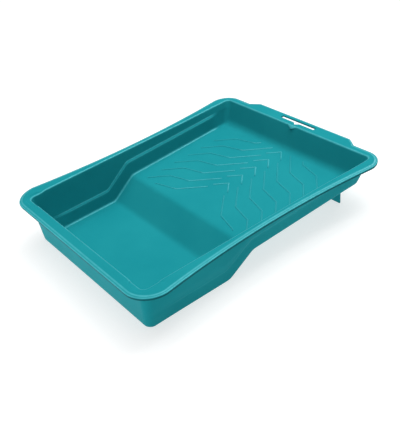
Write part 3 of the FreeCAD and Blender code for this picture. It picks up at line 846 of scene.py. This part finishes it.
def rib_nodes():
    """Repeats one row of rib lines along the ramp, trims it, lays it on the ramp and gives it body."""
    tree = bpy.data.node_groups.new("herringbone_ribs", "GeometryNodeTree")
    inside = tree.interface
    inside.new_socket("Row", in_out="INPUT", socket_type="NodeSocketGeometry")
    for name in ("Pitch", "From", "To", "Width", "Height", "Rise", "Base", "Start"):
        inside.new_socket(name, in_out="INPUT", socket_type="NodeSocketFloat")
    inside.new_socket("Rows", in_out="INPUT", socket_type="NodeSocketInt")
    inside.new_socket("Plastic", in_out="INPUT", socket_type="NodeSocketMaterial")
    inside.new_socket("Ribs", in_out="OUTPUT", socket_type="NodeSocketGeometry")
    nodes, wire = tree.nodes, tree.links.new
    given = nodes.new("NodeGroupInput")
    result = nodes.new("NodeGroupOutput")

    def worked_out(kind, first, second):
        node = nodes.new("ShaderNodeMath")
        node.operation = kind
        for socket, value in zip(node.inputs, (first, second)):
            if isinstance(value, (int, float)):
                socket.default_value = value
            else:
                wire(value, socket)
        return node.outputs[0]

    finer = nodes.new("GeometryNodeSubdivideMesh")
    finer.inputs["Level"].default_value = 5
    wire(given.outputs["Row"], finer.inputs["Mesh"])
    step = nodes.new("ShaderNodeCombineXYZ")
    wire(given.outputs["Pitch"], step.inputs["X"])
    places = nodes.new("GeometryNodeMeshLine")
    wire(given.outputs["Rows"], places.inputs["Count"])
    wire(step.outputs[0], places.inputs["Offset"])
    repeat = nodes.new("GeometryNodeInstanceOnPoints")
    wire(places.outputs[0], repeat.inputs["Points"])
    wire(finer.outputs[0], repeat.inputs["Instance"])
    plain = nodes.new("GeometryNodeRealizeInstances")
    wire(repeat.outputs[0], plain.inputs[0])
    where = nodes.new("GeometryNodeInputPosition")
    apart = nodes.new("ShaderNodeSeparateXYZ")
    wire(where.outputs[0], apart.inputs[0])
    before = worked_out("LESS_THAN", apart.outputs["X"], given.outputs["From"])
    beyond = worked_out("GREATER_THAN", apart.outputs["X"], given.outputs["To"])
    trim = nodes.new("GeometryNodeDeleteGeometry")
    wire(plain.outputs[0], trim.inputs["Geometry"])
    wire(worked_out("ADD", before, beyond), trim.inputs["Selection"])
    lay = nodes.new("GeometryNodeSetPosition")
    run_up = worked_out("SUBTRACT", apart.outputs["X"], given.outputs["Start"])
    climb = worked_out("MULTIPLY", run_up, given.outputs["Rise"])
    level = worked_out("ADD", climb, given.outputs["Base"])
    up = nodes.new("ShaderNodeCombineXYZ")
    wire(level, up.inputs["Z"])
    wire(trim.outputs[0], lay.inputs["Geometry"])
    wire(up.outputs[0], lay.inputs["Offset"])
    curve = nodes.new("GeometryNodeMeshToCurve")
    wire(lay.outputs[0], curve.inputs["Mesh"])
    upright = nodes.new("GeometryNodeSetCurveNormal")
    upright.mode = "Z_UP"
    wire(curve.outputs[0], upright.inputs["Curve"])
    bead = nodes.new("GeometryNodeCurvePrimitiveCircle")
    bead.inputs["Resolution"].default_value = 12
    bead.inputs["Radius"].default_value = 1.0
    wide = worked_out("MULTIPLY", given.outputs["Width"], 0.5)
    flatten = nodes.new("GeometryNodeTransform")
    shape = nodes.new("ShaderNodeCombineXYZ")
    wire(wide, shape.inputs["X"])
    wire(given.outputs["Height"], shape.inputs["Y"])
    shape.inputs["Z"].default_value = 1.0
    wire(bead.outputs["Curve"], flatten.inputs["Geometry"])
    wire(shape.outputs[0], flatten.inputs["Scale"])
    body = nodes.new("GeometryNodeCurveToMesh")
    wire(upright.outputs[0], body.inputs["Curve"])
    wire(flatten.outputs[0], body.inputs["Profile Curve"])
    body.inputs["Fill Caps"].default_value = True
    last = nodes.new("GeometryNodeRealizeInstances")
    wire(body.outputs[0], last.inputs[0])
    coat = nodes.new("GeometryNodeSetMaterial")
    wire(last.outputs[0], coat.inputs["Geometry"])
    wire(given.outputs["Plastic"], coat.inputs["Material"])
    wire(coat.outputs[0], result.inputs["Ribs"])
    return tree


laying = ribs.modifiers.new("laying", "NODES")
laying.node_group = rib_nodes()
ramp_rise = (RAMP_HIGH - RAMP_LOW) / (RAMP_END - SLOPE_END)
settings = {
    "Pitch": RIB_PITCH * MM,
    "From": (RIBS_FROM - FRONT_TO_ORIGIN) * MM,
    "To": (RIBS_TO - FRONT_TO_ORIGIN) * MM,
    "Width": RIB_WIDTH * MM,
    "Height": RIB_HEIGHT * MM,
    "Rise": ramp_rise,
    "Base": RAMP_LOW * MM,
    "Start": (SLOPE_END - FRONT_TO_ORIGIN) * MM,
    "Rows": RIB_ROWS,
    "Plastic": plastic,
}
for socket in laying.node_group.interface.items_tree:
    if socket.in_out == "INPUT" and socket.name in settings:
        laying[socket.identifier] = settings[socket.name]
bpy.context.view_layer.update()
laid = bpy.data.meshes.new_from_object(ribs.evaluated_get(bpy.context.evaluated_depsgraph_get()))
ribs.modifiers.remove(laying)
ribs.data = laid
laid.name = "ramp_ribs_body"
laid.polygons.foreach_set("use_smooth", [True] * len(laid.polygons))
ribs.name = "ramp_ribs_body"
laid.attributes.new("wear_and_painted_light", "FLOAT", "POINT")

# The ribs are painted paler and glossier: a little all over, part wear and part painted highlight,
# and most along the middle of the ramp and a little to its left, as painted highlight.
HIGHLIT_RIGHT, HIGHLIT_RIGHT_BLEND = -14.0, 6.0
HIGHLIT_LEFT, HIGHLIT_LEFT_BLEND = 44.0, 8.0
RIB_WEAR_AND_HIGHLIGHT, RIB_EXTRA_HIGHLIGHT = 0.15, 0.5
rib_ys = np.array([vertex.co.y for vertex in laid.vertices]) / MM
highlit = eased((rib_ys - HIGHLIT_RIGHT) / HIGHLIT_RIGHT_BLEND)
highlit = highlit * (1 - eased((rib_ys - HIGHLIT_LEFT) / HIGHLIT_LEFT_BLEND))
laid.attributes["wear_and_painted_light"].data.foreach_set("value", RIB_WEAR_AND_HIGHLIGHT + RIB_EXTRA_HIGHLIGHT * highlit)
fitted(ribs, "ramp_ribs")

# -------------------------------------------------------------- floor, light and camera
# The tray stands on a plain pale floor that glows a little, under a large softbox. Two narrow
# strips behind it put a shine along its edges, and a low card in front lights its front wall.
FLOOR_SIZE, FLOOR_GREY = 14, (0.42, 0.42, 0.42, 1)
FLOOR_ROUGHNESS, FLOOR_GLOW, SKY_GLOW = 0.9, 0.68, 0.25
WHITE = (1, 1, 1, 1)
bpy.ops.mesh.primitive_plane_add(size=FLOOR_SIZE)
ground = bpy.context.object
ground.name = "studio_floor"
pale = bpy.data.materials.new("pale_floor")
pale.use_nodes = True
floor_finish = pale.node_tree.nodes["Principled BSDF"].inputs
floor_finish["Base Color"].default_value = FLOOR_GREY
floor_finish["Roughness"].default_value = FLOOR_ROUGHNESS
floor_finish["Emission Color"].default_value = WHITE
floor_finish["Emission Strength"].default_value = FLOOR_GLOW
ground.data.materials.append(pale)


def softbox(name, place, aim, wide, high, power):
    """A soft rectangular light, its size in metres and its power in watts."""
    light = bpy.data.lights.new(name, "AREA")
    light.shape = "RECTANGLE"
    light.size, light.size_y = wide, high
    light.energy = power
    lamp = bpy.data.objects.new(name, light)
    lamp.location = place
    lamp.rotation_euler = (Vector(aim) - Vector(place)).to_track_quat("-Z", "Y").to_euler()
    bpy.context.collection.objects.link(lamp)


softbox("overhead_softbox", (0.2, 0.1, 2.0), aim=(0, 0, 0), wide=2.0, high=2.0, power=31)
softbox("rear_strip", (1.05, 0.35, 1.6), aim=(0, 0, 0.05), wide=0.25, high=1.9, power=12)
softbox("high_strip", (0.9, -0.4, 1.75), aim=(0, 0, 0.05), wide=0.25, high=0.9, power=7)
softbox("front_card", (-0.55, 0.1, 0.03), aim=(-0.18, 0, 0.04), wide=0.7, high=0.05, power=0.9)

world = bpy.data.worlds.new("studio")
world.use_nodes = True
world.node_tree.nodes["Background"].inputs["Color"].default_value = WHITE
world.node_tree.nodes["Background"].inputs["Strength"].default_value = SKY_GLOW
bpy.context.scene.world = world
bpy.context.scene.view_settings.view_transform = "Standard"

# The camera looks down on the tray from its front right.
SENSOR_WIDTH, FOCAL_LENGTH = 36.0, 63.07
CAMERA_PLACE = (-0.39402, -0.60169, 0.49265)
CAMERA_RIGHT, CAMERA_UP = (0.7777, -0.6138, -0.1355), (0.4371, 0.3732, 0.8184)
lens = bpy.data.cameras.new("camera")
lens.sensor_fit = "HORIZONTAL"
lens.sensor_width = SENSOR_WIDTH
lens.lens = FOCAL_LENGTH
camera = bpy.data.objects.new("camera", lens)
right, up = Vector(CAMERA_RIGHT), Vector(CAMERA_UP)
back = right.cross(up).normalized()
up = back.cross(right).normalized()
right.normalize()
turned = Matrix((right, up, back)).transposed().to_4x4()
camera.matrix_world = Matrix.Translation(CAMERA_PLACE) @ turned
bpy.context.collection.objects.link(camera)
bpy.context.scene.camera = camera
